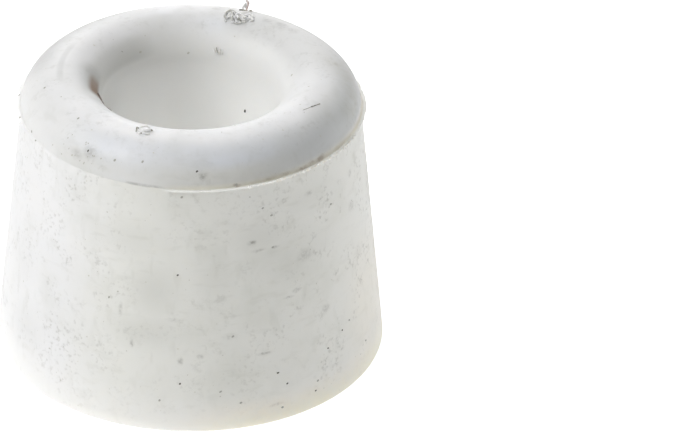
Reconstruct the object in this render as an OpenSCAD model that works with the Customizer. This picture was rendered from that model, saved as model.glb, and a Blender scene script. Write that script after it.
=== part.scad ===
// Door bumper: a moulded rubber stop that a single screw holds to a floor or a wall.
// One moulding: a drafted cone, wide end down, with a thick rolled rim round a deep screw recess.
// Its half section is drawn once and turned about the Z axis.
// Millimetres, +Z up, origin at the centre of the face that is screwed down.

/* [Cone] */
// Diameter of the face that is screwed down, before its edge is rounded
base_d = 40; // [36:0.5:50]
// Height of the cone, from that face up to the parting line
cone_h = 26.8; // [22:0.2:34]
// Lean of the cone's wall from upright, in degrees
wall_lean = 5.9; // [3:0.1:7]
// Radius of the rounded edge at the foot
foot_round = 0.3; // [0.1:0.1:1.5]

/* [Rim] */
// Rise of the rim's crest above the parting line
rim_rise = 3.7; // [3.5:0.1:4.6]
// Radius of the rim's outer shoulder, which starts upright at the parting line
shoulder_r = 3.3; // [2.6:0.1:3.4]
// Radius of the flatter crown between the shoulder and the crest
crown_r = 5.2; // [4.2:0.1:6.5]
// Radius of the roll from the crest down into the recess
roll_r = 3.8; // [3:0.1:5]

/* [Moulding flash] */
// How far the flash stands out from the wall at the parting line
flash_reach = 0.55; // [0.2:0.05:0.8]
// Thickness of the flash where it leaves the wall
flash_root = 0.3; // [0.2:0.05:0.5]
// Thickness of the flash at its outer edge
flash_edge = 0.15; // [0.1:0.01:0.2]

/* [Screw recess] */
// Rubber left under the recess, which the screw clamps
floor_t = 9; // [6:0.5:14]
// Draft of the recess wall from upright, in degrees
recess_draft = 2; // [0.5:0.5:4]
// Radius of the fillet between the recess wall and its floor
floor_fillet = 1.5; // [0.5:0.1:2.5]
// Diameter of the screw hole
screw_hole_d = 5; // [3.5:0.1:6.5]

/* [Hidden] */
$fn = 128;
// Largest step along the section's arcs, in degrees
arc_step = 7.5;

// Points of the cone's wall
base_r = base_d / 2;
function wall_r(z) = base_r - z * tan(wall_lean);
parting_r = wall_r(cone_h);
flash_r = parting_r + flash_reach;

// The foot's round touches the base plane and the wall
foot_c = [wall_r(foot_round) - foot_round / cos(wall_lean), foot_round];

// The shoulder springs from the parting line, and the crown runs on from it to the crest
crest_z = cone_h + rim_rise;
shoulder_c = [parting_r - shoulder_r, cone_h];
crown_drop = crown_r - rim_rise;
crest_r = shoulder_c.x - sqrt(pow(crown_r - shoulder_r, 2) - pow(crown_drop, 2));
crown_c = [crest_r, crest_z - crown_r];
crown_end = atan2(shoulder_c.y - crown_c.y, shoulder_c.x - crown_c.x);

// The roll turns from the crest until it lies along the recess wall
roll_c = [crest_r, crest_z - roll_r];
roll_end = 180 - recess_draft;
throat = on_circle(roll_c, roll_r, roll_end);
function recess_r(z) = throat.x - (throat.y - z) * tan(recess_draft);

// The fillet touches the recess wall and the floor
fillet_z = floor_t + floor_fillet;
fillet_c = [recess_r(fillet_z) - floor_fillet / cos(recess_draft), fillet_z];

// Point of a circle at an angle
function on_circle(c, r, a) = [c.x + r * cos(a), c.y + r * sin(a)];

// Points along an arc, in equal steps near arc_step; a first point that the outline has already is skipped
function arc(c, r, from, to, skip = 0) =
    let (steps = ceil(abs(to - from) / arc_step))
    [for (i = [skip:steps]) on_circle(c, r, from + (to - from) * i / steps)];

// Half section of the moulding, from the hole's lower edge outwards, up over the rim and down the recess
module section() {
    polygon(concat(
        [[screw_hole_d / 2, 0]],
        arc(foot_c, foot_round, -90, wall_lean),
        [
            [wall_r(cone_h - flash_root), cone_h - flash_root],
            [flash_r, cone_h - flash_edge],
            [flash_r, cone_h]
        ],
        arc(shoulder_c, shoulder_r, 0, crown_end),
        arc(crown_c, crown_r, crown_end, 90, skip = 1),
        arc(roll_c, roll_r, 90, roll_end, skip = 1),
        arc(fillet_c, floor_fillet, -recess_draft, -90),
        [[screw_hole_d / 2, floor_t]]
    ));
}

// The whole moulding, in off-white rubber
module bumper() {
    color([0.86, 0.86, 0.84])
    rotate_extrude()
        section();
}

bumper();
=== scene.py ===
# %% [markdown]
# # A moulded rubber door bumper
#
# This lesson dresses one small thing: a white rubber stop that a single screw
# holds to a floor or a wall, so that a door comes to rest against it. It is one
# moulding, a drafted cone with a thick rolled rim round a deep screw recess.
# The construction model gives its exact size. Blender gives it what a few years
# on a dirty floor gave the real one: specks, smears, a stained throat, a ragged
# line of flash and some lint.

# %% Load the construction model
import math
import random

import bpy
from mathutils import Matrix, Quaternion, Vector


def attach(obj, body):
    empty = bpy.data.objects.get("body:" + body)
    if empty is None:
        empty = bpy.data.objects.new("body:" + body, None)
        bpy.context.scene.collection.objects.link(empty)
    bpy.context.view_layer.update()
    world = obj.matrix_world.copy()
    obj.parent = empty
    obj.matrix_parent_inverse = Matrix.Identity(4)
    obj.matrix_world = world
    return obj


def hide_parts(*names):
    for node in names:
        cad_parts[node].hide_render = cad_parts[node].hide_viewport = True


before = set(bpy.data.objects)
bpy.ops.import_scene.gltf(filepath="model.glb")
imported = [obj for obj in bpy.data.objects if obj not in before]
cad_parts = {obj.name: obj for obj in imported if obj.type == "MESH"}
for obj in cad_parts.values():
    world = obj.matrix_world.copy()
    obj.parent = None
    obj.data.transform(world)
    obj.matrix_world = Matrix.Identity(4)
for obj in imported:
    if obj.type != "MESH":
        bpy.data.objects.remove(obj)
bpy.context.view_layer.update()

# %% [markdown]
# ## Units and small helpers
#
# Blender works in metres and the maker of this part works in millimetres, so
# lengths below are written as a number times MM. Only the lists of places, and
# the few functions that say so, take plain millimetres and degrees. Colours are
# written as the hex values that a paint chart or an image editor shows, and one
# function turns them into the linear values that the shaders expect. One more
# function adds a node to any tree, sets its options and plugs in its sockets, by
# name or, where a node has several sockets of one name, by number. Most nodes
# are read at their first output, so a node stands for that one, and the others
# are asked for by name or number.

# %% Units, colours and nodes
MM = 0.001


def linear(hex_colour):
    """The linear RGBA of an sRGB hex colour such as "#C0FFEE"."""
    channels = [int(hex_colour[i:i + 2], 16) / 255 for i in (1, 3, 5)]
    decoded = [c / 12.92 if c <= 0.04045 else ((c + 0.055) / 1.055) ** 2.4 for c in channels]
    return (*decoded, 1.0)


def feed(tree, node, sockets):
    """Plugs in a node's sockets: each takes a constant, an output, or a node's first output."""
    for name, value in sockets.items():
        source = value.outputs[0] if isinstance(value, bpy.types.Node) else value
        if isinstance(source, bpy.types.NodeSocket):
            tree.links.new(source, node.inputs[name])
        else:
            node.inputs[name].default_value = source


def add(tree, kind, sockets=None, **options):
    """Adds a node, sets its options, and plugs in its sockets."""
    made = tree.nodes.new(kind)
    for option, value in options.items():
        setattr(made, option, value)
    feed(tree, made, sockets or {})
    return made


def place(name, data):
    """A new object in the scene, at the origin."""
    made = bpy.data.objects.new(name, data)
    bpy.context.scene.collection.objects.link(made)
    return made


def material(name, settings=None):
    """A new material with these settings of its shader. Gives it, its node tree and its shader."""
    made = bpy.data.materials.new(name)
    made.use_nodes = True
    shader = made.node_tree.nodes["Principled BSDF"]
    feed(made.node_tree, shader, settings or {})
    return made, made.node_tree, shader


print("pure white decodes to", linear("#FFFFFF")[0])

# %% [markdown]
# ## Camera
#
# The bumper is seen from about thirty degrees above, from far enough away that
# its sides hardly converge. A long lens at arm's length does that. The camera
# looks past the bumper's right side, so the bumper stands at the left of the
# picture with empty space beside it. A camera that is tipped down and panned
# aside makes upright things lean, so a small roll sets the bumper straight.

# %% Camera
CAMERA_DISTANCE = 550 * MM
CAMERA_ELEVATION = math.radians(30.96)
CAMERA_ROLL = math.radians(1.17)
FRAME_WIDTH = 69.79 * MM
SENSOR_WIDTH = 36
AIM_ASIDE = 15.31 * MM
AIM_HEIGHT = 13.48 * MM

camera = place("camera", bpy.data.cameras.new("camera"))
bpy.context.scene.camera = camera
camera.data.sensor_width = SENSOR_WIDTH
camera.data.lens = SENSOR_WIDTH * CAMERA_DISTANCE / FRAME_WIDTH
back = Vector((0, -math.cos(CAMERA_ELEVATION), math.sin(CAMERA_ELEVATION)))
aim = Vector((AIM_ASIDE, 0, AIM_HEIGHT))
camera.location = Vector((0, 0, AIM_HEIGHT)) + back * CAMERA_DISTANCE
camera.rotation_mode = "QUATERNION"
upright = (aim - camera.location).to_track_quat("-Z", "Y")
camera.rotation_quaternion = upright @ Quaternion((0, 0, 1), CAMERA_ROLL)
camera.data.clip_start = 10 * MM
camera.data.clip_end = 10000 * MM
print("lens", round(camera.data.lens), "mm")

# %% [markdown]
# ## Light
#
# White rubber shows its form only where the light is uneven and soft. The key is
# a strong softbox at the left. Behind and at the right stand pairs of weaker
# ones. The low one of each pair grazes the rim, so that its crown is bright and
# its outer slope, which looks up at the dim camera side, falls darker, and the
# high one fills the recess. One over the camera fills that slope. Mirror-like
# reflections see a white room.
#
# The real one stands on a lit white table, and that light soaks through nine
# millimetres of white rubber into the recess. Scattering that deep is costly and
# noisy, so a tiny disc lamp low in the screw hole stands in for it. Its light
# comes up the hole and brightens the recess towards its depth.
#
# Azimuths are measured round the bumper from the camera's side: 90 is its right,
# -90 its left and 180 straight behind.

# %% Lamps and room
bpy.context.scene.view_settings.view_transform = "Standard"
LAMP_DISTANCE = 700 * MM
LAMP_SIZE = 300 * MM
LAMP_TARGET = Vector((0, 0, 15 * MM))


def softbox(name, azimuth, elevation, watts):
    """A square area lamp that faces the bumper."""
    turn, rise = math.radians(azimuth), math.radians(elevation)
    across = math.cos(rise)
    towards = Vector((math.sin(turn) * across, -math.cos(turn) * across, math.sin(rise)))
    lamp = place(name, bpy.data.lights.new(name, "AREA"))
    lamp.data.size = LAMP_SIZE
    lamp.data.energy = watts
    lamp.location = LAMP_TARGET + towards * LAMP_DISTANCE
    lamp.rotation_mode = "QUATERNION"
    lamp.rotation_quaternion = (-towards).to_track_quat("-Z", "Y")


SOFTBOXES = {
    # azimuth, elevation and power in watts
    "key": (-82, 48, 2.86),
    "behind_low": (180, 8, 0.7),
    "behind_high": (-168, 45, 0.88),
    "low_right": (120, 8, 1.5),
    "high_right": (90, 65, 0.25),
    "over_camera": (0, 60, 1.06),
}
for name, setting in SOFTBOXES.items():
    softbox(name, *setting)

THROUGH_WIDTH = 2.6 * MM
THROUGH_PLACE = (-1.2 * MM, 0, 0.4 * MM)
THROUGH_WATTS = 0.0021
through_light = place("through_light", bpy.data.lights.new("through_light", "AREA"))
through_light.data.shape = "DISK"
through_light.data.size = THROUGH_WIDTH
through_light.data.energy = THROUGH_WATTS
through_light.location = THROUGH_PLACE
through_light.rotation_euler = (math.pi, 0, 0)
through_light.visible_camera = False
through_light.visible_glossy = False

world = bpy.data.worlds.new("white_room")
bpy.context.scene.world = world
world.use_nodes = True
room = world.node_tree
room.nodes.clear()
ray = add(room, "ShaderNodeLightPath").outputs
seen = ray["Is Camera Ray"]
for other in (ray["Is Glossy Ray"], ray["Is Transmission Ray"]):
    seen = add(room, "ShaderNodeMath", {0: seen, 1: other}, operation="MAXIMUM")
sky = add(room, "ShaderNodeBackground", {"Color": linear("#FFFFFF"), "Strength": seen})
add(room, "ShaderNodeOutputWorld", {"Surface": sky})
print(len(SOFTBOXES), "softboxes and a lamp in the screw hole")

# %% [markdown]
# ## Floor
#
# The bumper stands on a lit sheet of white paper, as on a light table. The glow
# comes back up from below and lights the cone's sides, which is why they look
# paler than the rim's underside. The camera sees a little more white than the
# rest of the scene does, so the paper runs out into the background while the
# bumper's soft shadow stays on it.

# %% Floor
FLOOR_SIZE = 1200 * MM
FLOOR_GLOW = 0.54
FLOOR_WHITE = 0.2

half = FLOOR_SIZE / 2
floor_mesh = bpy.data.meshes.new("floor")
floor_corners = [(-half, -half, 0), (half, -half, 0), (half, half, 0), (-half, half, 0)]
floor_mesh.from_pydata(floor_corners, [], [(0, 1, 2, 3)])
floor = place("floor", floor_mesh)
paper, sheet, _ = material("white_paper")
sheet.nodes.clear()
ray = add(sheet, "ShaderNodeLightPath").outputs
white = linear("#FFFFFF")
matt = add(sheet, "ShaderNodeBsdfDiffuse", {"Color": linear("#EDEDED")})
glow = add(sheet, "ShaderNodeEmission", {"Color": white, "Strength": FLOOR_GLOW})
lift = add(sheet, "ShaderNodeEmission", {"Color": white, "Strength": FLOOR_GLOW + FLOOR_WHITE})
shine = add(sheet, "ShaderNodeMixShader", {0: ray["Is Camera Ray"], 1: glow, 2: lift})
both = add(sheet, "ShaderNodeAddShader", {0: matt, 1: shine})
add(sheet, "ShaderNodeOutputMaterial", {"Surface": both})
floor_mesh.materials.append(paper)
print("paper", round(FLOOR_SIZE / MM), "mm square")

# %% [markdown]
# ## The moulding's section
#
# Turned once round the screw hole's axis, one half section gives the whole
# bumper. It starts at the screw hole's lower edge and runs outwards under the
# base, up the drafted wall to a thin ledge of flash where the mould's two halves
# met, over the rolled rim, and down the recess. These are the construction
# model's own sizes, and the arcs here only get more points than its facets. One
# thing is added: a hair's breadth of fillet in the corner above the flash, where
# a dead sharp corner would draw a black line.

# %% Section
BASE_R = 20 * MM
CONE_H = 26.8 * MM
WALL_LEAN = math.radians(5.9)
FOOT_ROUND = 0.3 * MM
RIM_RISE = 3.7 * MM
SHOULDER_R = 3.3 * MM
CROWN_R = 5.2 * MM
ROLL_R = 3.8 * MM
FLASH_REACH = 0.55 * MM
FLASH_ROOT = 0.3 * MM
FLASH_EDGE = 0.15 * MM
FLASH_BEVEL = 0.04 * MM
FLASH_FILLET = 0.3 * MM
FLOOR_T = 9 * MM
RECESS_DRAFT = math.radians(2)
FLOOR_FILLET = 1.5 * MM
SCREW_HOLE_R = 2.5 * MM


def wall_r(z):
    """Radius of the cone's wall at a height."""
    return BASE_R - z * math.tan(WALL_LEAN)


def on_circle(centre, radius, angle):
    """A point on a circle, at an angle from straight outwards."""
    return (centre[0] + radius * math.cos(angle), centre[1] + radius * math.sin(angle))


def arc(centre, radius, start, end, step=3):
    """Points of an arc, one every few degrees, without its first."""
    count = math.ceil(math.degrees(abs(end - start)) / step)
    turn = end - start
    return [on_circle(centre, radius, start + turn * i / count) for i in range(1, count + 1)]


def line(start, end, step):
    """Points of a straight stretch, without its first."""
    count = max(1, math.ceil(math.dist(start, end) / step))
    return [tuple(a + (b - a) * i / count for a, b in zip(start, end)) for i in range(1, count + 1)]


QUARTER = math.pi / 2
PARTING_R = wall_r(CONE_H)
CREST_Z = CONE_H + RIM_RISE
SHOULDER = (PARTING_R - SHOULDER_R, CONE_H)
# the crown's arc runs on smoothly from the shoulder's, and the roll's from the crown's
CREST_R = SHOULDER[0] - math.sqrt((CROWN_R - SHOULDER_R) ** 2 - (CROWN_R - RIM_RISE) ** 2)
CROWN = (CREST_R, CREST_Z - CROWN_R)
CROWN_END = math.atan2(SHOULDER[1] - CROWN[1], SHOULDER[0] - CROWN[0])
ROLL = (CREST_R, CREST_Z - ROLL_R)
THROAT = on_circle(ROLL, ROLL_R, math.pi - RECESS_DRAFT)


def half_section():
    """Points of the closed half section, as pairs of a radius and a height."""
    foot = (wall_r(FOOT_ROUND) - FOOT_ROUND / math.cos(WALL_LEAN), FOOT_ROUND)
    flash_r = PARTING_R + FLASH_REACH
    flash_root = CONE_H - FLASH_ROOT
    corner = (PARTING_R + FLASH_FILLET, CONE_H + FLASH_FILLET)
    fillet_z = FLOOR_T + FLOOR_FILLET
    recess_r = THROAT[0] - (THROAT[1] - fillet_z) * math.tan(RECESS_DRAFT)
    fillet = (recess_r - FLOOR_FILLET / math.cos(RECESS_DRAFT), fillet_z)
    start = (SCREW_HOLE_R, 0)
    points = [start]
    points += line(start, (foot[0], 0), step=3 * MM)
    points += arc(foot, FOOT_ROUND, -QUARTER, WALL_LEAN, step=12)
    points += line(points[-1], (wall_r(flash_root), flash_root), step=0.9 * MM)
    points += [(flash_r - FLASH_BEVEL, CONE_H - FLASH_EDGE)]
    points += [(flash_r, CONE_H - FLASH_EDGE / 2)]
    points += [(flash_r - FLASH_BEVEL, CONE_H)]
    points += arc(corner, FLASH_FILLET, -QUARTER, -math.pi, step=15)
    points += arc(SHOULDER, SHOULDER_R, math.asin(FLASH_FILLET / SHOULDER_R), CROWN_END)
    points += arc(CROWN, CROWN_R, CROWN_END, QUARTER)
    points += arc(ROLL, ROLL_R, QUARTER, math.pi - RECESS_DRAFT)
    points += line(THROAT, on_circle(fillet, FLOOR_FILLET, -RECESS_DRAFT), step=1 * MM)
    points += arc(fillet, FLOOR_FILLET, -RECESS_DRAFT, -QUARTER, step=10)
    points += line((fillet[0], FLOOR_T), (SCREW_HOLE_R, FLOOR_T), step=2 * MM)
    points += line((SCREW_HOLE_R, FLOOR_T), start, step=3 * MM)[:-1]
    return points


section = half_section()
print(len(section), "points in the section, crest at radius", round(CREST_R / MM, 2), "mm")

# %% [markdown]
# ## Places on the moulding
#
# Dirt doesn't lie at random: the eye knows this bumper by its largest specks and
# smears. Their places are written in a maker's terms, an azimuth in degrees and,
# on the wall, a height in millimetres, or on the rim, the tilt of the surface
# there. A tilt of 0 is the crest, 90 the rim's upright outer side, and a negative
# tilt leans in towards the recess. One function for each turns these into points.

# %% Wall and rim places


def on_wall(azimuth, height):
    """A point on the cone's wall."""
    turn = math.radians(azimuth)
    r = wall_r(height * MM)
    return Vector((r * math.sin(turn), -r * math.cos(turn), height * MM))


def on_rim(azimuth, tilt, lift=0.0):
    """A point on the rim where its surface tilts so far from level, or so many millimetres off it."""
    turn, lean = math.radians(azimuth), math.radians(tilt)
    if tilt < 0:
        centre, radius = ROLL, ROLL_R
    elif lean < QUARTER - CROWN_END:
        centre, radius = CROWN, CROWN_R
    else:
        centre, radius = SHOULDER, SHOULDER_R
    r, z = on_circle(centre, radius + lift * MM, QUARTER - lean)
    return Vector((r * math.sin(turn), -r * math.cos(turn), z))


print("the crest in front lies at", [round(c / MM, 2) for c in on_rim(0, 0)], "mm")

# %% [markdown]
# ## White rubber
#
# The bumper is moulded in white thermoplastic rubber. That gives the eye a matt
# to satin skin with no grain, and a soft, slightly translucent edge, so some
# subsurface scattering carries light a fraction of a millimetre. New, it is one
# white. Some light and shade is painted into its colour as well: the rim is
# painted a cooler grey than the cone, with painted shade darkest on its right
# side and a painted highlight on its inner roll, and the recess is painted a
# brighter white.
#
# A real dirt layer could be painted on an image. Here every layer is a mask made
# of noise, heights and distances, in the piece's own Object coordinates, so it
# stays put whatever the camera does. Layers go on in this order, the dirt in the
# order in which the real dirt came: the colour of each zone, with its painted
# light and shade, a patchy film, pits full of dust, faint scuffs, stains, strokes
# along the rim, some of them painted shade, dirt and a band of painted light at
# the parting line, and the foot's painted glow.

# %% Helpers for the tree at hand
# The name t stands for the tree that is being built. Each tree's own cell sets it, and these add nodes to it.
# The last one also reads azimuth, which the tree's cell takes from round_axis.


def ramp(value, low, high, to_low=0.0, to_high=1.0, soft=True):
    """Maps a value from one range to another, gently at both ends unless told otherwise."""
    return add(t, "ShaderNodeMapRange", {
        "Value": value, "From Min": low, "From Max": high, "To Min": to_low, "To Max": to_high},
        interpolation_type="SMOOTHSTEP" if soft else "LINEAR")


def combine(operation, *values):
    """Chains a Math node's operation over two or more values."""
    result = values[0]
    for value in values[1:]:
        result = add(t, "ShaderNodeMath", {0: result, 1: value}, operation=operation)
    return result


def meet(*masks):
    """Full only where every one of these masks is full. A plain number weakens them all."""
    return combine("MULTIPLY", *masks)


def coats(under, *layers):
    """Lays coats over a colour, in order. Each is the share that it covers, and its own colour."""
    paint = linear(under) if isinstance(under, str) else under
    for share, over in layers:
        cover = linear(over) if isinstance(over, str) else over
        # a Mix node keeps its colours in sockets 6 and 7, and gives the mixed one in output 2
        paint = add(t, "ShaderNodeMix", {0: share, 6: paint, 7: cover}, data_type="RGBA").outputs[2]
    return paint


def round_axis(spot):
    """A spot's place about the axis: the spot brought down to the floor, its radius, azimuth and height."""
    x, y, height = add(t, "ShaderNodeSeparateXYZ", {0: spot}).outputs
    azimuth = combine("ARCTAN2", x, combine("MULTIPLY", y, -1.0))
    flat = add(t, "ShaderNodeVectorMath", {0: spot, 1: (1, 1, 0)}, operation="MULTIPLY")
    radius = add(t, "ShaderNodeVectorMath", {0: flat}, operation="LENGTH").outputs["Value"]
    return flat, radius, azimuth, height


def sway(noise, reach):
    """A push in any direction, up to half this reach each way, from the colour of a noise."""
    centred = add(t, "ShaderNodeVectorMath", {0: noise.outputs["Color"], 1: (0.5, 0.5, 0.5)},
                  operation="SUBTRACT")
    return add(t, "ShaderNodeVectorMath", {0: centred, "Scale": reach}, operation="SCALE")


def round_about(middle, within, gone_by):
    """1 within some degrees of an azimuth, and 0 from a wider angle on, also across the back."""
    turned = combine("SUBTRACT", azimuth, math.radians(middle))
    cosine = add(t, "ShaderNodeMath", {0: turned}, operation="COSINE")
    apart = add(t, "ShaderNodeMath", {0: cosine}, operation="ARCCOSINE")
    return ramp(apart, math.radians(gone_by), math.radians(within))


# %% Rubber: coordinates that the layers share
# A clean coat reflects like plain plastic. Light soaks in most in red, so thin edges are a little warm.
rubber, t, shader = material("moulded_white_rubber", {
    "IOR": 1.5, "Subsurface Weight": 1.0, "Subsurface Radius": (1.0, 0.97, 0.93),
    "Subsurface Scale": 0.8 * MM})
spot = add(t, "ShaderNodeTexCoord").outputs["Object"]
flat, radius, azimuth, height = round_axis(spot)
wander = add(t, "ShaderNodeTexNoise", {
    "Vector": spot, "Scale": 1 / (0.9 * MM), "Detail": 3.0, "Roughness": 0.65})
ragged_spot = add(t, "ShaderNodeVectorMath", {0: spot, 1: sway(wander, 0.45 * MM)}, operation="ADD")

# %% Rubber: the clouds of noise
# Squashed coordinates draw a noise out: level across the wall, or upright, up and down it.
level, upright = [
    add(t, "ShaderNodeVectorMath", {0: spot, 1: squash}, operation="MULTIPLY")
    for squash in ((0.5, 0.5, 1.4), (1.4, 1.4, 0.5))]
CLOUDS = {
    # coordinates, width of the features, detail and roughness
    "broad": (spot, 7 * MM, 4.0, 0.6),
    "small": (ragged_spot, 1.6 * MM, 5.0, 0.7),
    "crumbs": (spot, 0.28 * MM, 2.0, 0.5),
    "pits": (spot, 0.45 * MM, 2.0, 0.5),
    "flocks": (spot, 3.2 * MM, 2.0, 0.5),
    "rubs": (level, 1.3 * MM, 2.0, 0.5),
    "runs": (upright, 1.5 * MM, 2.0, 0.5),
    "texture": (spot, 0.35 * MM, 2.0, 0.5),
}
cloud = {}
for name, (vector, width, detail, roughness) in CLOUDS.items():
    cloud[name] = add(t, "ShaderNodeTexNoise", {
        "Vector": vector, "Scale": 1 / width, "Detail": detail, "Roughness": roughness})
# a fourth coordinate, W, only picks another draw of the noise
cluster = add(t, "ShaderNodeTexNoise", {
    "Vector": spot, "Scale": 1 / (5 * MM), "Detail": 1.0, "W": 4.0}, noise_dimensions="4D")


# %% Rubber: zones of the rim
# A zone lies about an azimuth. It is bounded by how far it lies from the parting line or from the crest, in
# plain millimetres.
def over_parting(gone, full):
    """0 at one height over the parting line, and 1 at the other."""
    return ramp(height, CONE_H + gone * MM, CONE_H + full * MM)


def past_crest(gone, full):
    """0 at one distance outwards from the crest, and 1 at the other."""
    return ramp(radius, CREST_R + gone * MM, CREST_R + full * MM)


on_rim_part = over_parting(-0.02, 0.1)
outer_side = combine("GREATER_THAN", radius, CREST_R)
inner_side = combine("SUBTRACT", 1.0, outer_side)
in_recess = ramp(radius, THROAT[0] + 2.2 * MM, THROAT[0] + 0.2 * MM)
outer_slope = past_crest(0.5, 3.4)
# Some zones are painted light and shade: a highlight on the inner roll behind and on the outer slope just
# left of the middle, and shade on the outer slope in front, low down and on its right side.
roll_highlight = meet(past_crest(0, -1.5), round_about(150, 12, 32))
dark_left = meet(outer_slope, round_about(-126, 20, 40))
front_slope_shade = meet(outer_slope, round_about(0, 26, 54), over_parting(1.0, 2.4))
left_slope_highlight = meet(outer_slope, round_about(-14, 10, 26), 0.6)
low_slope_shade_and_dirt = meet(over_parting(2.6, 1.2), outer_side, round_about(32, 26, 46))
flank_shade = meet(past_crest(1.0, 3.5), round_about(66, 14, 55), over_parting(0.4, 1.0))
low_left_shade = meet(over_parting(3.0, 1.4), outer_side, round_about(-22, 14, 34), 0.5)
back_crest = meet(on_rim_part, round_about(-172, 12, 26), past_crest(-1.0, 0))

# %% Rubber: the white of each zone, with painted light and shade
# The rim is brightest in front, and a painted highlight makes its inner roll a bluish white behind. Its outer
# slope carries painted shade: bluish and darker in front, with a small painted highlight left of the middle,
# a warmer grey near the parting line, which is painted shadow with some dirt, darker behind on the left, and
# darkest on the right, where a paler band is left just above the flash.
rim_white = coats(
    "#EDEDED", (round_about(0, 35, 75), "#F7F7F8"), (roll_highlight, "#F7F9FD"), (outer_slope, "#E8E8E7"),
    (dark_left, "#D0D0D0"), (round_about(128, 20, 50), "#E2E2E1"), (front_slope_shade, "#E1E4E9"),
    (left_slope_highlight, "#F2F3F6"), (low_slope_shade_and_dirt, "#DCDCD8"), (flank_shade, "#CCCECE"), (low_left_shade, "#DBDBD7"),
    (back_crest, "#F4F4F5"))
# The cone is painted a warm, brighter white at its right edge, low down, as painted light bounced up from the
# floor. It is also a brighter white on the left, high up in front.
warm_edge_light = meet(round_about(85, 15, 35), ramp(height, 17 * MM, 9 * MM), 0.6)
brighter_left_patch = meet(round_about(-42, 8, 28), ramp(height, 15 * MM, 20 * MM), 0.3)
wall_white = coats("#EDEDE8", (round_about(-85, 35, 65), "#EDEDED"), (warm_edge_light, "#F8F3E8"),
                   (brighter_left_patch, "#F8F8F7"))
# The recess is painted a brighter white than the cone, painted light, and a little darker on its left,
# painted shade where the key's light falls short.
recess_light_and_shade = coats("#F6F6F4", (round_about(-125, 45, 85), "#F2F2F0"))
zoned = coats(wall_white, (on_rim_part, rim_white), (in_recess, recess_light_and_shade))

# %% Rubber: a patchy film of grime
# Broad, soft patches of greenish grey, some millimetres wide, and small, darker blots that lie in clusters.
handled = combine("SUBTRACT", 1.0, in_recess)
film = meet(ramp(cloud["broad"], 0.46, 0.72, 0.0, 0.13), handled)
blots = meet(ramp(cloud["small"], 0.54, 0.74, 0.0, 0.2), ramp(cluster, 0.46, 0.62), handled)
grimed = coats(zoned, (film, "#B9BBAC"), (blots, "#8F8E80"))

# %% Rubber: pits full of dust
# They lie in flocks, thickest on both flanks, where hands and shoes don't wipe them. At the far left and on
# the rim they are fainter.
aside = add(t, "ShaderNodeMath", {0: azimuth}, operation="ABSOLUTE")
unwiped = ramp(aside, math.radians(8), math.radians(50), 0.4, 1.0)
fainter_left = ramp(azimuth, math.radians(-75), math.radians(-25), 0.75, 1.0)
fainter_on_rim = ramp(on_rim_part, 0.0, 1.0, 1.0, 0.4)
pits = meet(ramp(cloud["pits"], 0.52, 0.72, 0.0, 0.3), ramp(cloud["flocks"], 0.46, 0.62), unwiped,
            fainter_left, handled, fainter_on_rim)
pitted = coats(grimed, (pits, "#807E72"))

# %% Rubber: faint scuffs
# Some run level, as a passing door leaves them, and some up and down.
rubs = ramp(cloud["rubs"], 0.56, 0.75, 0.0, 0.09)
runs = ramp(cloud["runs"], 0.56, 0.76, 0.0, 0.09)
scuffed = coats(pitted, (meet(combine("MAXIMUM", rubs, runs), handled), "#A3A293"))


# %% Rubber: stains at listed places
def stains(groups, speckled=1.0):
    """A mask of spots. Those of a group lie on the wall or on the rim.

    Each has its two coordinates there, a width and a height in millimetres, and a strength. A speckled spot
    is made of crumbs. At 0 it is an even film.
    """
    mask = 0.0
    for where, spots in groups:
        for turn, up, width, tall, strength in spots:
            apart = add(t, "ShaderNodeVectorMath", {0: ragged_spot, 1: where(turn, up)}, operation="SUBTRACT")
            squeeze = (2 / width, 2 / width, 2 / tall)
            squeezed = add(t, "ShaderNodeVectorMath", {0: apart, 1: squeeze}, operation="MULTIPLY")
            away = add(t, "ShaderNodeVectorMath", {0: squeezed}, operation="LENGTH").outputs["Value"]
            mask = combine("MAXIMUM", ramp(away, MM, 0.0, 0.0, strength), mask)
    return meet(mask, ramp(cloud["crumbs"], 0.36, 0.6, 1.0 - 0.65 * speckled, 1.0))


# each spot: azimuth, height on the wall or tilt on the rim, width, how tall, and strength
SMEARS = [
    (on_wall, [
        (20, 20.5, 1.5, 0.7, 0.5), (22, 19.5, 2.2, 0.6, 0.3), (28, 19.5, 1.3, 0.5, 0.4),
        (42, 24, 1.6, 0.9, 0.3), (65, 23, 1.0, 1.3, 0.3), (35, 14, 1.6, 0.7, 0.4),
        (32, 13.5, 1.8, 0.4, 0.4), (-5, 12.5, 2.2, 0.7, 0.25), (-18, 9.5, 0.6, 1.6, 0.4),
        (-3, 8, 0.8, 1.3, 0.4), (3, 8.5, 1.1, 0.8, 0.4), (23, 8, 2.6, 0.5, 0.4), (26, 2, 2.4, 0.5, 0.6),
        (-22, 13, 0.7, 2.4, 0.3), (12, 10.5, 2.0, 1.2, 0.2), (46, 10.5, 1.8, 1.5, 0.28),
        (39, 17.5, 3.0, 2.2, 0.25), (64, 19.5, 2.0, 1.8, 0.25)]),
    (on_rim, [
        (4, 66, 1.2, 1.2, 0.45), (-37, 54, 2.6, 1.8, 0.3), (-42, 66, 2.2, 1.6, 0.22),
        (144, 5, 1.6, 1.0, 0.25), (137, 8, 2.4, 0.9, 0.25), (130, 9, 2.0, 0.8, 0.2)]),
]
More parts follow.
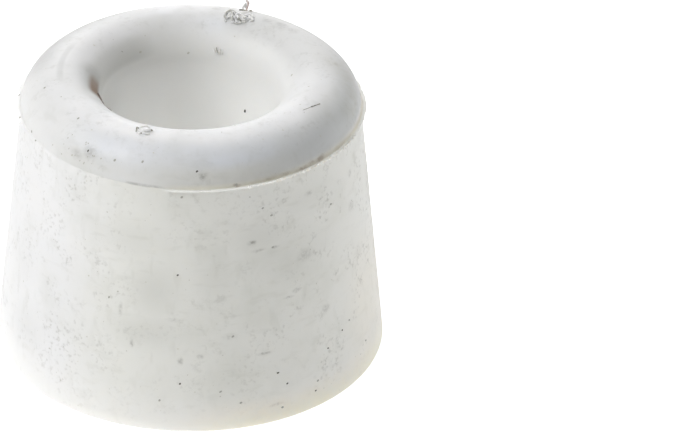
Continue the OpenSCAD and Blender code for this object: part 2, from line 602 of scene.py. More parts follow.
FILMS = [
    (on_wall, [
        (-12, 15.5, 8, 9, 0.16), (-14, 11, 13, 6, 0.14), (8, 17, 6, 8, 0.08), (35, 18, 14, 9, 0.1),
        (44, 23.5, 10, 5, 0.07), (-60, 6, 10, 10, 0.1), (-66, 13, 8, 10, 0.07), (-22, 21, 12, 7, 0.1),
        (24, 21, 9, 5, 0.1)]),
    # most of those on the rim lie on its right
    (on_rim, [
        (58, 30, 7, 5, 0.09), (70, 58, 5, 4, 0.1), (95, 20, 6, 4, 0.07), (36, -2, 9, 5, 0.1),
        (-48, 0, 6, 5, 0.1), (-4, 36, 11, 2.4, 0.08)]),
]
filmed = coats(scuffed, (stains(FILMS, speckled=0.0), "#94968B"))
smeared = coats(filmed, (stains(SMEARS), "#6F6D62"))
print(sum(len(spots) for _, spots in SMEARS), "smears over", sum(len(spots) for _, spots in FILMS), "films")


# %% Rubber: strokes along the rim
def stroke(middle, within, gone_by, height_there, climb, half_width, side):
    """A soft band that follows the rim about an azimuth, and climbs by so many millimetres a degree."""
    round_it = combine("SUBTRACT", azimuth, math.radians(middle))
    climbed = combine("MULTIPLY", round_it, math.degrees(climb) * MM)
    its_height = combine("ADD", climbed, height_there * MM)
    off_it = add(t, "ShaderNodeMath", {0: combine("SUBTRACT", height, its_height)}, operation="ABSOLUTE")
    band = ramp(off_it, half_width * MM, 0.35 * half_width * MM)
    return meet(band, round_about(middle, within, gone_by), side)


# Down the left side of the throat runs one short brown smear with a grey halo, and behind it the roll is
# darkened by painted shadow.
dim = combine("MAXIMUM", meet(stroke(-120, 20, 46, 28.7, 0, 1.6, inner_side), 0.28),
              meet(stroke(-140, 30, 70, 28.4, 0, 2.6, inner_side), 0.07))
halo = meet(stroke(-89, 8, 20, 29.25, 0.0, 1.2, inner_side), 0.3)
brown = meet(stroke(-85, 6, 15, 29.08, 0.012, 0.82, inner_side), ramp(cloud["small"], 0.25, 0.5, 0.65, 0.85),
             ramp(azimuth, math.radians(-97), math.radians(-79), 0.75, 1.1))
# The right side of the rim has taken a yellowish film. On its left, a grey crescent beside the crest is
# painted shade, as of a shallow dip in the surface.
olive = meet(stroke(88, 10, 22, 29.2, 0.0375, 1.0, outer_side),
             ramp(cloud["small"], 0.35, 0.6, 0.3, 1.0), 0.2)
off_arc = combine("SUBTRACT", radius, CREST_R + 0.5 * MM)
off_arc = add(t, "ShaderNodeMath", {0: off_arc}, operation="ABSOLUTE")
crescent_shade = meet(ramp(off_arc, 0.5 * MM, 0.1 * MM), round_about(-99, 10, 22), on_rim_part, 0.16)
stained_and_shaded = coats(smeared, (dim, "#94968B"), (halo, "#82827E"), (brown, "#8A6E56"), (olive, "#AFA88E"),
                (crescent_shade, "#8C8C88"))

# %% Rubber: dirt and painted light along the parting line
# On the right the corner above the flash is painted paler than the slope over it, painted light of the lit
# floor against the shade in that corner. On it lie a thin brownish film and a few brown crumbs, which don't
# reach the flash's own edge. Left of the middle runs a short grey line.
corner = meet(on_rim_part, outer_side)
clear_edge = ramp(radius, PARTING_R + 0.2 * MM, PARTING_R + 0.08 * MM)
corner_floor_light = meet(over_parting(0.7, 0.1), corner, round_about(45, 42, 60))
low_film = meet(over_parting(1.6, 0.2), corner, round_about(38, 16, 34),
                ramp(cloud["small"], 0.35, 0.6, 0.4, 1.0), 0.14, clear_edge)
grey_line = meet(over_parting(0.4, 0.15), corner, round_about(-16, 3, 8),
                 ramp(cloud["small"], 0.36, 0.56, 0.2, 1.0), 0.4)
CRUMBS = [
    (on_rim, [
        (15, 86, 1.4, 0.5, 0.5), (27, 86, 2.2, 0.4, 0.25), (33, 85, 2.0, 0.6, 0.35),
        (40, 86, 2.4, 0.7, 0.4), (44, 84, 1.6, 0.7, 0.35), (48, 84, 2.0, 1.0, 0.5)]),
]
dirt_and_corner_light = coats(stained_and_shaded, (corner_floor_light, "#E8E6DB"), (low_film, "#8F8570"),
              (meet(stains(CRUMBS), clear_edge), "#7A5F45"), (grey_line, "#77766F"))

# %% Rubber: the foot's painted glow
# Painted light: towards the floor the foot is painted a brighter white, and on the right a warm white, for
# the lit table's light that reaches it.
foot = meet(ramp(height, 6 * MM, 0.3 * MM), 0.5)
warm_foot_glow = meet(ramp(height, 4 * MM, 0.3 * MM), ramp(cloud["small"], 0.3, 0.6, 0.5, 1.0, soft=False),
             round_about(50, 30, 60), 0.75)
skin = coats(dirt_and_corner_light, (foot, "#FBFAF7"), (warm_foot_glow, "#FFF5E3"))

# %% Rubber: gloss and relief
# Grime is duller than clean rubber. The relief is the mould's own faint unevenness and a fine, worn texture.
gloss = ramp(cloud["broad"], 0.35, 0.7, 0.46, 0.62)
relief = combine("ADD", cloud["texture"], cloud["small"])
bump = add(t, "ShaderNodeBump", {"Height": relief, "Strength": 0.25, "Distance": 0.02 * MM})
feed(t, shader, {"Base Color": skin, "Roughness": gloss, "Normal": bump})
print("rubber has", len(t.nodes), "nodes")

# %% [markdown]
# ## Geometry Nodes, from a tree to a plain mesh
#
# Several pieces below are grown by node trees: the moulding itself, the shreds
# along its flash, the grit on it, and every thread of lint. A few helpers serve
# them all. One starts a tree with a named input for each of its sizes, and one
# ends it with the piece's material. A third lays flakes on points, as both grit
# and shreds need. The last puts a tree on a piece, sets those inputs, and keeps
# the result as a plain mesh.

# %% Start a tree, end a tree
SOCKET_KINDS = {int: "NodeSocketInt", float: "NodeSocketFloat", bpy.types.Object: "NodeSocketObject",
                bpy.types.Material: "NodeSocketMaterial"}


def start_tree(name, inputs):
    """A geometry tree with a geometry input, these named inputs, and an output."""
    tree = bpy.data.node_groups.new(name, "GeometryNodeTree")
    tree.interface.new_socket("Geometry", in_out="INPUT", socket_type="NodeSocketGeometry")
    for label, kind in inputs.items():
        tree.interface.new_socket(label, in_out="INPUT", socket_type=SOCKET_KINDS[kind])
    tree.interface.new_socket("Geometry", in_out="OUTPUT", socket_type="NodeSocketGeometry")
    return tree, add(tree, "NodeGroupInput").outputs


def end_tree(geometry, finish):
    """Makes instances real, gives everything this material, and hands it out."""
    whole = add(t, "GeometryNodeRealizeInstances", {0: geometry})
    coated = add(t, "GeometryNodeSetMaterial", {"Geometry": whole, "Material": finish})
    add(t, "NodeGroupOutput", {"Geometry": coated})


# %% Lay flakes, grow a piece
# As t stands for the tree at hand, given stands for its inputs. These are the ones that flakes need.
FLAKE_INPUTS = {"Chip Width": float, "Chip Depth": float, "Seed": int, "Flake": bpy.types.Material}


def lay_flakes(least, most, length, sockets):
    """Lays a ball on every point, squeezed between two shapes, chips it into a flake, and ends the tree."""
    slim = add(t, "FunctionNodeRandomValue", {0: least, 1: most, "Seed": given["Seed"]},
               data_type="FLOAT_VECTOR")
    scale = add(t, "ShaderNodeVectorMath", {0: slim, "Scale": length}, operation="SCALE")
    ball = add(t, "GeometryNodeMeshIcoSphere", {"Radius": 0.5, "Subdivisions": 1})
    laid = add(t, "GeometryNodeInstanceOnPoints", {"Instance": ball, "Scale": scale, **sockets})
    # they are made real here, so that each corner of each flake moves by itself
    real = add(t, "GeometryNodeRealizeInstances", {0: laid})
    spot = add(t, "GeometryNodeInputPosition")
    chips = add(t, "ShaderNodeTexNoise", {
        "Vector": spot, "Scale": combine("DIVIDE", 1.0, given["Chip Width"]), "Detail": 1.0})
    push = sway(chips, given["Chip Depth"])
    chipped = add(t, "GeometryNodeSetPosition", {"Geometry": real, "Offset": push})
    end_tree(chipped, given["Flake"])


def grow(piece, tree, values):
    """Puts the tree on the piece with these inputs, and keeps what comes out as its mesh."""
    modifier = piece.modifiers.new(tree.name, "NODES")
    modifier.node_group = tree
    for item in tree.interface.items_tree:
        if item.in_out == "INPUT" and item.name in values:
            modifier[item.identifier] = values[item.name]
    graph = bpy.context.evaluated_depsgraph_get()
    mesh = bpy.data.meshes.new_from_object(piece.evaluated_get(graph), depsgraph=graph)
    mesh.name = piece.name
    piece.modifiers.clear()
    piece.data = mesh
    mesh.calc_loop_triangles()
    print(piece.name, len(mesh.loop_triangles), "triangles")
    return piece


# %% [markdown]
# ## The moulding
#
# A Screw modifier, a Spin or a loop over angles could all turn the section.
# Here Curve to Mesh sweeps it round a circle, because the same tree can then do
# what a real mould and real rubber do: leave the surface very slightly uneven,
# and leave the flash ragged where it tore from the mould. The circle lies in the
# middle of the wall, so the section is drawn about that radius.

# %% Tree: sweep the section round
SWEEP_R = 10 * MM
moulding_tree, given = start_tree("moulding", {
    "Sweep Radius": float, "Steps Round": int, "Unevenness": float, "Unevenness Width": float,
    "Flat Below": float, "Flash Height": float, "Flash Root Radius": float, "Root Kept": float,
    "Front Wear": float, "Left Wear": float, "Most Wear": float, "Tear Loss": float, "Tear Width": float,
    "Crisp Angle": float, "Rubber": bpy.types.Material})
t = moulding_tree
path = add(t, "GeometryNodeCurvePrimitiveCircle", {
    "Resolution": given["Steps Round"], "Radius": given["Sweep Radius"]})
profile = add(t, "GeometryNodeMeshToCurve", {"Mesh": given["Geometry"]})
swept = add(t, "GeometryNodeCurveToMesh", {"Curve": path, "Profile Curve": profile})
facing_out = add(t, "GeometryNodeFlipFaces", {"Mesh": swept})
spot = add(t, "GeometryNodeInputPosition")
flat, radius, azimuth, height = round_axis(spot)

# the whole skin but the base moves a few hundredths of a millimetre in and out
waves = add(t, "ShaderNodeTexNoise", {
    "Vector": spot, "Scale": combine("DIVIDE", 1.0, given["Unevenness Width"]), "Detail": 1.0})
push = combine("MULTIPLY", combine("SUBTRACT", waves, 0.5), given["Unevenness"])
normal = add(t, "GeometryNodeInputNormal")
offset = add(t, "ShaderNodeVectorMath", {0: normal, "Scale": push}, operation="SCALE")
above_base = combine("GREATER_THAN", height, given["Flat Below"])
uneven = add(t, "GeometryNodeSetPosition", {
    "Geometry": facing_out, "Selection": above_base, "Offset": offset})

# the flash has worn down in front, is nearly gone left of the middle, and its edge is torn
reach = combine("SUBTRACT", radius, given["Flash Root Radius"])
is_flash = meet(combine("GREATER_THAN", height, given["Flash Height"]),
                combine("GREATER_THAN", reach, given["Root Kept"]))
in_front = meet(round_about(0, 50, 72), given["Front Wear"])
left_front = meet(round_about(-40, 26, 44), given["Left Wear"])
tears = add(t, "ShaderNodeTexNoise", {
    "Vector": flat, "Scale": combine("DIVIDE", 1.0, given["Tear Width"]), "Detail": 3.0, "Roughness": 0.7})
torn = meet(ramp(tears, 0.42, 0.75), given["Tear Loss"])
share = combine("ADD", combine("MAXIMUM", in_front, left_front), torn)
inwards = combine("MULTIPLY", combine("MINIMUM", share, given["Most Wear"]), reach, -1.0)
outwards = add(t, "ShaderNodeVectorMath", {0: flat}, operation="NORMALIZE")
pull = add(t, "ShaderNodeVectorMath", {0: outwards, "Scale": inwards}, operation="SCALE")
ragged = add(t, "GeometryNodeSetPosition", {"Geometry": uneven, "Selection": is_flash, "Offset": pull})

# round surfaces shade smooth, and real corners stay crisp
bend = add(t, "GeometryNodeInputMeshEdgeAngle").outputs["Unsigned Angle"]
crisp = combine("GREATER_THAN", bend, given["Crisp Angle"])
smooth = add(t, "GeometryNodeSetShadeSmooth", {"Geometry": ragged, "Shade Smooth": True}, domain="FACE")
edged = add(t, "GeometryNodeSetShadeSmooth", {
    "Geometry": smooth, "Selection": crisp, "Shade Smooth": False}, domain="EDGE")
end_tree(edged, given["Rubber"])

# %% Grow the moulding
loop = bpy.data.meshes.new("section")
corners = [(r - SWEEP_R, -z, 0) for r, z in section]
loop.from_pydata(corners, [(i, (i + 1) % len(corners)) for i in range(len(corners))], [])
moulding = grow(place("bumper_moulding", loop), moulding_tree, {
    "Sweep Radius": SWEEP_R, "Steps Round": 400, "Unevenness": 0.06 * MM, "Unevenness Width": 7 * MM,
    "Flat Below": 0.1 * MM, "Flash Height": CONE_H - 0.2 * MM, "Flash Root Radius": PARTING_R,
    "Root Kept": 0.05 * MM, "Front Wear": 0.45, "Left Wear": 0.85, "Most Wear": 0.95, "Tear Loss": 0.45,
    "Tear Width": 1.2 * MM, "Crisp Angle": math.radians(40), "Rubber": rubber})
moulding_box = [Vector(c) for c in moulding.bound_box]
print("moulding spans", [round(c / MM, 2) for c in moulding_box[6] - moulding_box[0]], "mm")
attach(moulding, "root")
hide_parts("bumper")

# %% [markdown]
# ## Grit
#
# Specks of grit stick to the rubber. They could be dots in the material, but real
# ones stand up a little, have hard edges and lie in every direction, so they are
# small solid flecks. A tree puts one fleck on every point it gets. The specks
# that a viewer would miss are listed one by one. The rest are scattered over the
# outside, closer together where noise says that the dirt is thicker.
#
# Each fleck takes its size and its shade from its point, and the shade reaches
# the material as an attribute of the finished mesh.

# %% Tree: flecks on points
grit_tree, given = start_tree("grit", {
    "Moulding": bpy.types.Object, "Per Square Metre": float, "Smallest": float, "Largest": float,
    "Palest": float, "Darkest": float, "Lowest": float, "Inner Radius": float, "Patch Width": float,
    **FLAKE_INPUTS})
t = grit_tree
skin = add(t, "GeometryNodeObjectInfo", {"Object": given["Moulding"]}).outputs["Geometry"]
spot = add(t, "GeometryNodeInputPosition")
_, radius, _, height = round_axis(spot)
open_skin = meet(combine("GREATER_THAN", height, given["Lowest"]),
                 combine("GREATER_THAN", radius, given["Inner Radius"]))
patches = add(t, "ShaderNodeTexNoise", {
    "Vector": spot, "Scale": combine("DIVIDE", 1.0, given["Patch Width"]), "Detail": 2.0})
density = combine("MULTIPLY", ramp(patches, 0.4, 0.7, 0.1, 2.4, soft=False), given["Per Square Metre"])
scatter = add(t, "GeometryNodeDistributePointsOnFaces", {
    "Mesh": skin, "Selection": open_skin, "Density": density, "Seed": given["Seed"]},
    distribute_method="RANDOM")
# most specks are small: a power of an even draw leans towards the smallest
draw = add(t, "FunctionNodeRandomValue", {"Seed": given["Seed"]}, data_type="FLOAT").outputs[1]
size = ramp(combine("POWER", draw, 2.5), 0.0, 1.0, given["Smallest"], given["Largest"], soft=False)
other_seed = combine("ADD", given["Seed"], 7.0)
tone = add(t, "FunctionNodeRandomValue", {2: given["Palest"], 3: given["Darkest"], "Seed": other_seed},
           data_type="FLOAT").outputs[1]
toned = scatter.outputs["Points"]
for label, value in (("size", size), ("shade", tone)):
    toned = add(t, "GeometryNodeStoreNamedAttribute", {"Geometry": toned, "Name": label, "Value": value},
                data_type="FLOAT", domain="POINT")
by_hand = add(t, "GeometryNodeMeshToPoints", {"Mesh": given["Geometry"]})
points = add(t, "GeometryNodeJoinGeometry")
for group in (by_hand, toned):
    feed(t, points, {0: group})

# every point drops onto the skin, and its fleck lies flat there, turned at random
nearest = add(t, "GeometryNodeProximity", {0: skin}, target_element="FACES").outputs["Position"]
seated = add(t, "GeometryNodeSetPosition", {"Geometry": points, "Position": nearest})
normal = add(t, "GeometryNodeInputNormal")
upwards = add(t, "GeometryNodeSampleNearestSurface", {"Mesh": skin, "Value": normal},
              data_type="FLOAT_VECTOR")
stand = add(t, "FunctionNodeAlignRotationToVector", {"Vector": upwards}, axis="Z")
any_turn = add(t, "FunctionNodeRandomValue", {2: 0.0, 3: math.tau, "Seed": given["Seed"]},
               data_type="FLOAT").outputs[1]
twist = add(t, "FunctionNodeAxisAngleToRotation", {"Axis": (0, 0, 1), "Angle": any_turn})
lie = add(t, "FunctionNodeRotateRotation", {"Rotation": stand, "Rotate By": twist}, rotation_space="LOCAL")
own_size = add(t, "GeometryNodeInputNamedAttribute", {"Name": "size"}, data_type="FLOAT")
# a fleck is flat, and longer than it is wide
lay_flakes((0.9, 0.5, 0.15), (1.4, 0.9, 0.25), own_size, {"Points": seated, "Rotation": lie})

# %% Grit, a dull mineral dust
# Road and floor dust: fully matt, from a warm dark grey down to nearly the colour of the film round it.
grit, t, shader = material("floor_grit", {"Roughness": 0.9, "IOR": 1.5})
shade = add(t, "ShaderNodeAttribute", attribute_name="shade", attribute_type="GEOMETRY").outputs["Fac"]
dusty = coats("#E0DFD6", (combine("POWER", shade, 1.7), "#3F3D36"))
feed(t, shader, {"Base Color": dusty})

# %% Grit at listed places
# Each kind of speck has a size in millimetres and a shade, from 0, like the film, to 1, black grit.
BLACK, GREY, FAINT, FINE = (0.26, 0.95), (0.3, 0.6), (0.3, 0.35), (0.17, 0.5)
# The few that a viewer would miss: azimuth and height on the wall, azimuth and tilt on the rim and in its
# throat, and at a tilt of 90 and a little off the rim, on the flash.
SPECKS = [
    (on_wall, BLACK, [(53, 7), (46, 6), (27, 5.5), (30, 4), (40, 2), (-4, 17.5), (-3, 5.5)]),
    (on_wall, GREY, [(-3, 26), (24, 24), (27, 23), (20, 20.5), (27, 19.5), (52, 21.5), (13, 10.5), (57, 7.5),
                     (66, 3.5), (41, 3), (9, 4.5), (15, 3), (28, 1.5), (-26, 14), (-9, 3.5)]),
    (on_rim, BLACK, [(-38, 53), (2, 57)]),
    (on_rim, GREY, [(-80, 25), (-27, 54), (-17, 47), (-51, 19), (15, 85), (-68, 84)]),
    (on_rim, FAINT, [(-178, -77), (-146, -64), (96, -42)]),
    (on_rim, GREY, [(-95, 90, 0.3), (-80, 90, 0.3), (-64, 90, 0.3)]),
]
seeds = [(where(*spot), kind) for where, kind, spots in SPECKS for spot in spots]
# a cluster of fine specks lies at the rim's left, and one black speck deep in the recess, on its far side
CLUSTER_SIZE = 16
chance = random.Random(3)
for _ in range(CLUSTER_SIZE):
    seeds += [(on_rim(chance.uniform(-54, -32), chance.uniform(38, 80)), FINE)]
seeds += [(Vector((5.5, 6.8, 22)) * MM, (0.36, 1.0))]

dots = bpy.data.meshes.new("floor_grit")
dots.from_pydata([point for point, _ in seeds], [], [])
dots.attributes.new("size", "FLOAT", "POINT").data.foreach_set("value", [kind[0] * MM for _, kind in seeds])
dots.attributes.new("shade", "FLOAT", "POINT").data.foreach_set("value", [kind[1] for _, kind in seeds])
specks = grow(place("floor_grit", dots), grit_tree, {
    "Moulding": moulding, "Per Square Metre": 0.135e6, "Smallest": 0.08 * MM, "Largest": 0.22 * MM,
    "Palest": 0.05, "Darkest": 0.55, "Lowest": 0.4 * MM, "Inner Radius": THROAT[0] + 0.6 * MM,
    "Patch Width": 5 * MM, "Chip Width": 0.12 * MM, "Chip Depth": 0.08 * MM, "Seed": 11, "Flake": grit})
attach(specks, "root")

# %% [markdown]
# ## Lint
#
# Threads catch on rubber: a tangle at the back of the rim with one stiff fibre
# standing out of it, a crumb of fluff at the edge of the recess in front, a hair
# in the throat's dirt, a wisp on the throat's far side, and a short fibre on the
# rim's right side. A cloth simulation or a random walk would tangle threads too,
# but the eye knows these by their own loops, so each thread is a short list of
# given places: azimuth, tilt, and how far its middle stands off the
# rubber. One tree turns any of them into threads, and crumples them a little.

# %% Tree: threads along polylines
thread_tree, given = start_tree("thread", {
    "Thickness": float, "Sides": int, "Step": float, "Crumple": float, "Crumple Width": float, "Seed": int,
    "Lint": bpy.types.Material})
t = thread_tree
strands = add(t, "GeometryNodeMeshToCurve", {"Mesh": given["Geometry"]})
curved = add(t, "GeometryNodeCurveSplineType", {"Curve": strands}, spline_type="CATMULL_ROM")
spaced = add(t, "GeometryNodeResampleCurve", {"Curve": curved, "Length": given["Step"]}, mode="LENGTH")
spot = add(t, "GeometryNodeInputPosition")
kinks = add(t, "ShaderNodeTexNoise", {
    "Vector": spot, "W": given["Seed"], "Scale": combine("DIVIDE", 1.0, given["Crumple Width"]),
    "Detail": 2.0}, noise_dimensions="4D")
kinked = add(t, "GeometryNodeSetPosition", {"Geometry": spaced, "Offset": sway(kinks, given["Crumple"])})
# a thread swells and thins along its way, by up to three tenths of its thickness
half_thick = meet(ramp(kinks, 0.3, 0.7, 0.35, 0.65, soft=False), given["Thickness"])
ring = add(t, "GeometryNodeCurvePrimitiveCircle", {"Resolution": given["Sides"], "Radius": 1.0})
tubes = add(t, "GeometryNodeCurveToMesh", {
    "Curve": kinked, "Profile Curve": ring, "Scale": half_thick, "Fill Caps": True})
smooth = add(t, "GeometryNodeSetShadeSmooth", {"Geometry": tubes, "Shade Smooth": True}, domain="FACE")
end_tree(smooth, given["Lint"])


# %% Lint finishes
def lint_finish(name, dark, pale, patch, soaking=1.0):
    """Matt fibre that light soaks into. Its colour wanders between two shades in patches of this width."""
    global t
    made, t, shader = material(name, {
        "Roughness": 0.85, "Sheen Weight": 0.8, "Subsurface Weight": soaking,
        "Subsurface Radius": (1.0, 1.0, 0.95), "Subsurface Scale": 0.3 * MM})
    spot = add(t, "ShaderNodeTexCoord").outputs["Object"]
    dust = add(t, "ShaderNodeTexNoise", {"Vector": spot, "Scale": 1 / patch, "Detail": 2.0})
    mixed = coats(dark, (ramp(dust, 0.38, 0.62, soft=False), pale))
    feed(t, shader, {"Base Color": mixed})
    return made


# cotton and fluff are nearly white, dust turns cotton a pale olive grey, and a knot of it holds the most dust
cotton = lint_finish("dusty_cotton_lint", "#F0F0EA", "#FFFFFF", 0.35 * MM)
knotted = lint_finish("knotted_cotton_lint", "#7A796E", "#B4B3A9", 0.3 * MM)
fluff = lint_finish("pale_fluff", "#F2F2EC", "#FFFFFD", 0.4 * MM)
bristle = lint_finish("pale_brown_bristle", "#B5A29B", "#D5C8C4", 0.5 * MM)
dusty = lint_finish("dusty_thread_lint", "#C6C5BA", "#ECEBE4", 0.3 * MM)
hair = lint_finish("dark_hair", "#6E6058", "#8A7C72", 0.5 * MM)


# %% Lay threads on the rim
THREAD_SIDES = 6
CRUMPLE_WIDTH = 0.5 * MM


def threads(name, strands, finish, thickness, crumple, seed):
    """A piece of lint. Each strand lists azimuth, tilt and lift off the rubber, and becomes one thread."""
    mesh = bpy.data.meshes.new(name)
    corners, edges = [], []
    for strand in strands:
        first = len(corners)
        corners += [on_rim(*stop) for stop in strand]
        edges += [(first + i, first + i + 1) for i in range(len(strand) - 1)]
    mesh.from_pydata(corners, edges, [])
    piece = grow(place(name, mesh), thread_tree, {
        "Thickness": thickness, "Sides": THREAD_SIDES, "Step": thickness * 0.6, "Crumple": crumple,
        "Crumple Width": CRUMPLE_WIDTH, "Seed": seed, "Lint": finish})
    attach(piece, "root")


# %% The tangle at the back
# pale loops fill it, and darker threads, where dust has gathered, draw its outlines
LOOPS = [
    # two long loops at the left, side by side
    [(162, -21, 0.02), (163, -17, 0.1), (163, -13, 0.15), (164, -9, 0.15), (164, -1, 0.15), (163, 4, 0.15),
     (162, 8, 0.05)],
    [(158.5, -18, 0.02), (160, -11, 0.2), (160.5, -4, 0.2), (160.5, 2, 0.2), (159.5, 1, 0.15),
     (158.5, -2, 0.05)],
    # one from the middle down to the right, one along the bottom, and an arc over their end
    [(158, -4, 0.15), (156.5, -10, 0.15), (155, -13, 0.15), (154, -14, 0.05), (153, -14, 0.05),
     (152, -10, 0.02)],
    [(159, -19, 0.02), (157, -20, 0.02), (155.5, -19, 0.02), (154, -17, 0.02)],
    [(155, -12, 0.1), (154.5, -9, 0.15), (153.5, -6, 0.15), (152.5, -5, 0.1)],
    # and one at the right
    [(153, 1.5, 0.15), (151, -2.5, 0.15), (149.5, -5, 0.1), (150.5, -10, 0.05)],
]
threads("lint_loops", LOOPS, cotton, 0.24 * MM, 0.1 * MM, 3)
OUTLINES = [
    [(162, -22, 0.03), (162.5, -17.5, 0.15), (163.5, -13.5, 0.25), (163.5, -7, 0.25), (163, -0.5, 0.3),
     (162, 5, 0.25)],
    [(161, -3, 0.35), (159.5, -10.5, 0.35), (159.5, -15.5, 0.35), (159.5, -19.5, 0.2)],
    [(161, 2.5, 0.35), (159.5, 0, 0.35), (158.5, -1, 0.35)],
    [(158, -20.5, 0.1), (156, -21.5, 0.1), (154, -19.5, 0.1)],
    [(154, -17.5, 0.25), (152.5, -18, 0.25), (151.5, -14, 0.2)],
    [(154, -10.5, 0.3), (153.5, -9, 0.35), (153, -8, 0.3)],
]
threads("lint_outlines", OUTLINES, dusty, 0.11 * MM, 0.08 * MM, 11)
KNOTS = [
    [(158, 4.5, 0.4), (156.5, 4, 0.5), (155.5, 6, 0.4)],
    [(154, 8.5, 0.35), (153.5, 10, 0.4), (153.5, 10.5, 0.3)],
    [(156, -12, 0.3), (155, -15.5, 0.35), (154, -17, 0.3)],
]
threads("lint_knots", KNOTS, knotted, 0.17 * MM, 0.06 * MM, 8)
FUZZ = [
    [(154.5, -12, 0.05), (153, -11, 0.1), (153, -6, 0.05)],
    [(157.5, 10, 0.4), (157.5, 12, 0.6), (157.5, 18, 0.7), (157, 16, 0.6), (156.5, 13.5, 0.4)],
    [(162, -14, 0.1), (160, -8, 0.15), (158.5, -12, 0.15), (157, -15, 0.1)],
    [(162, -16, 0.05), (162, -4, 0.05), (161, 5, 0.05)],
    [(158.5, -15, 0.05), (158.5, -2, 0.1), (157, 2, 0.05)],
    [(155, -2, 0.05), (154, 3, 0.1), (152.5, 7, 0.05), (151.5, 4, 0.02)],
    [(152.5, -9, 0.02), (151.5, -2, 0.05), (151, 5, 0.02)],
    [(157.5, -12, 0.15), (157, -16, 0.15), (156, -19, 0.1)],
    [(154, -13, 0.2), (152.5, -13, 0.2)],
]
threads("lint_fuzz", FUZZ, fluff, 0.28 * MM, 0.14 * MM, 5)
BRISTLE = [(155.5, 9, 0.3), (156, 13, 0.5), (156.5, 18, 0.7), (157, 20, 0.9), (159, 30, 0.9)]
threads("lint_bristle", [BRISTLE], bristle, 0.26 * MM, 0.04 * MM, 2)

# %% The crumb of fluff in front
ARCH = [(-24, 1.5, 0.1), (-23, 1, 0.3), (-21.5, -1.5, 0.4), (-20.5, -3, 0.4), (-19, -4.5, 0.2), (-18, 0, 0.1)]
LOW = [(-22.5, 8, 0.05), (-21.5, 9, 0.15), (-20.5, 7.5, 0.15), (-19, 7, 0.05), (-18, 5, 0.05)]
threads("rim_fluff", [ARCH, LOW], cotton, 0.2 * MM, 0.08 * MM, 4)
BLOB = [(-22, 2, 0.15), (-20.5, 3, 0.2), (-19.5, 1.5, 0.2), (-18.5, 0, 0.1)]
threads("rim_fluff_blob", [BLOB], fluff, 0.3 * MM, 0.12 * MM, 7)
DARK_BITS = [
    [(-24, 7, 0.05), (-24, 5, 0.2), (-24.5, 2.5, 0.3), (-23.5, 2, 0.2)],
    [(-21.5, 9.5, 0.2), (-21, 9, 0.2)],
    [(-18.5, -4.5, 0.1), (-17.5, 1.5, 0.2)],
]
threads("rim_fluff_grit", DARK_BITS, knotted, 0.16 * MM, 0.05 * MM, 6)

# %% The wisp on the far side of the throat
# one dark fibre with pale ones beside it
WISP = [(164, -65.5, 0.02), (163.5, -69, 0.06), (162.5, -73.5, 0.02)]
PALE_WISP = [
    [(162, -65.5, 0.02), (161.5, -69, 0.08), (161.5, -75.5, 0.02)],
    [(160.5, -66, 0.02), (159.5, -70, 0.08), (160, -75.5, 0.02)],
    [(166, -67.5, 0.02), (165, -71.5, 0.06), (164, -76, 0.02)],
]
threads("throat_wisp", [WISP], knotted, 0.1 * MM, 0.03 * MM, 12)
threads("throat_wisp_pale", PALE_WISP, fluff, 0.13 * MM, 0.03 * MM, 13)

# %% The hair in the throat and the fibre on the rim
# The hair is thick and dark where it leaves the stain, and thin from there on.
HAIR = [(-80, -56, 0.04), (-76, -60, 0.05), (-72, -60, 0.04), (-68, -57, 0.02)]
HAIR_TAIL = [(-68, -57, 0.02), (-64, -53, 0.02), (-58, -47, 0.02), (-52, -43, 0.01)]
threads("throat_hair", [HAIR], hair, 0.2 * MM, 0.04 * MM, 5)
threads("throat_hair_tail", [HAIR_TAIL], hair, 0.08 * MM, 0.04 * MM, 5)
STROKE = [(55.5, 8.5, 0.01), (58, 10.5, 0.01), (60, 12, 0.02), (62.5, 14.5, 0.02), (64.5, 16.5, 0.01)]
threads("rim_fibre", [STROKE], knotted, 0.055 * MM, 0.04 * MM, 9)
threads("rim_fibre_end", [STROKE[2:]], knotted, 0.13 * MM, 0.04 * MM, 9)

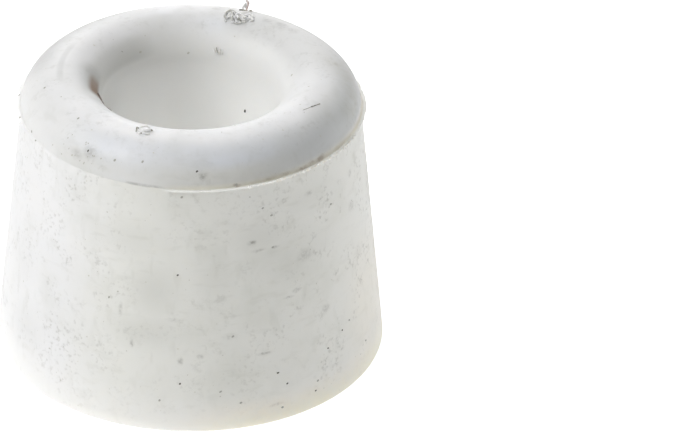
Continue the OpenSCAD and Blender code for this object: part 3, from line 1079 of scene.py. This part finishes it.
# %% [markdown]
# ## Shreds along the flash
#
# Where the two mould halves met, the flash has torn, and in front on the right
# its shreds have yellowed. They follow the parting circle, so a tree walks along
# that circle, keeps some of its points at random, and lays a small ragged flake
# on each.

# %% Tree: shreds along a circle
shred_tree, given = start_tree("shreds", {
    "Circle Radius": float, "Circle Height": float, "Points Round": int, "From Angle": float,
    "To Angle": float, "Share Kept": float, "Length": float, **FLAKE_INPUTS})
t = shred_tree
circle = add(t, "GeometryNodeCurvePrimitiveCircle", {
    "Resolution": given["Points Round"], "Radius": given["Circle Radius"]})
rise = add(t, "ShaderNodeCombineXYZ", {2: given["Circle Height"]})
raised = add(t, "GeometryNodeTransform", {"Geometry": circle, "Translation": rise})
stops = add(t, "GeometryNodeCurveToPoints", {"Curve": raised}, mode="EVALUATED")
_, _, azimuth, _ = round_axis(add(t, "GeometryNodeInputPosition"))
chance = add(t, "FunctionNodeRandomValue", {"Probability": given["Share Kept"], "Seed": given["Seed"]},
             data_type="BOOLEAN").outputs[3]
kept = meet(combine("GREATER_THAN", azimuth, given["From Angle"]),
            combine("LESS_THAN", azimuth, given["To Angle"]), chance)
any_turn = add(t, "FunctionNodeRandomValue", {
    0: (-0.5, -0.5, -math.pi), 1: (0.5, 0.5, math.pi), "Seed": given["Seed"]},
    data_type="FLOAT_VECTOR")
lay_flakes((0.4, 0.3, 0.3), (1.0, 0.6, 1.0), given["Length"],
           {"Points": stops, "Selection": kept, "Rotation": any_turn})

# %% Grow the shreds
# Torn rubber is as matt and fibrous as lint, so it takes the same finish, but shreds this thin don't glow.
aged = lint_finish("yellowed_rubber_flash", "#F0EBE0", "#FFFFFC", 0.4 * MM, soaking=0.0)
shreds = grow(place("flash_shreds", bpy.data.meshes.new("flash_shreds")), shred_tree, {
    "Circle Radius": PARTING_R + 0.42 * MM, "Circle Height": CONE_H + 0.04 * MM, "Points Round": 420,
    "From Angle": math.radians(18), "To Angle": math.radians(68), "Share Kept": 0.75, "Length": 0.42 * MM,
    "Chip Width": 0.15 * MM, "Chip Depth": 0.16 * MM, "Seed": 4, "Flake": aged})
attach(shreds, "root")
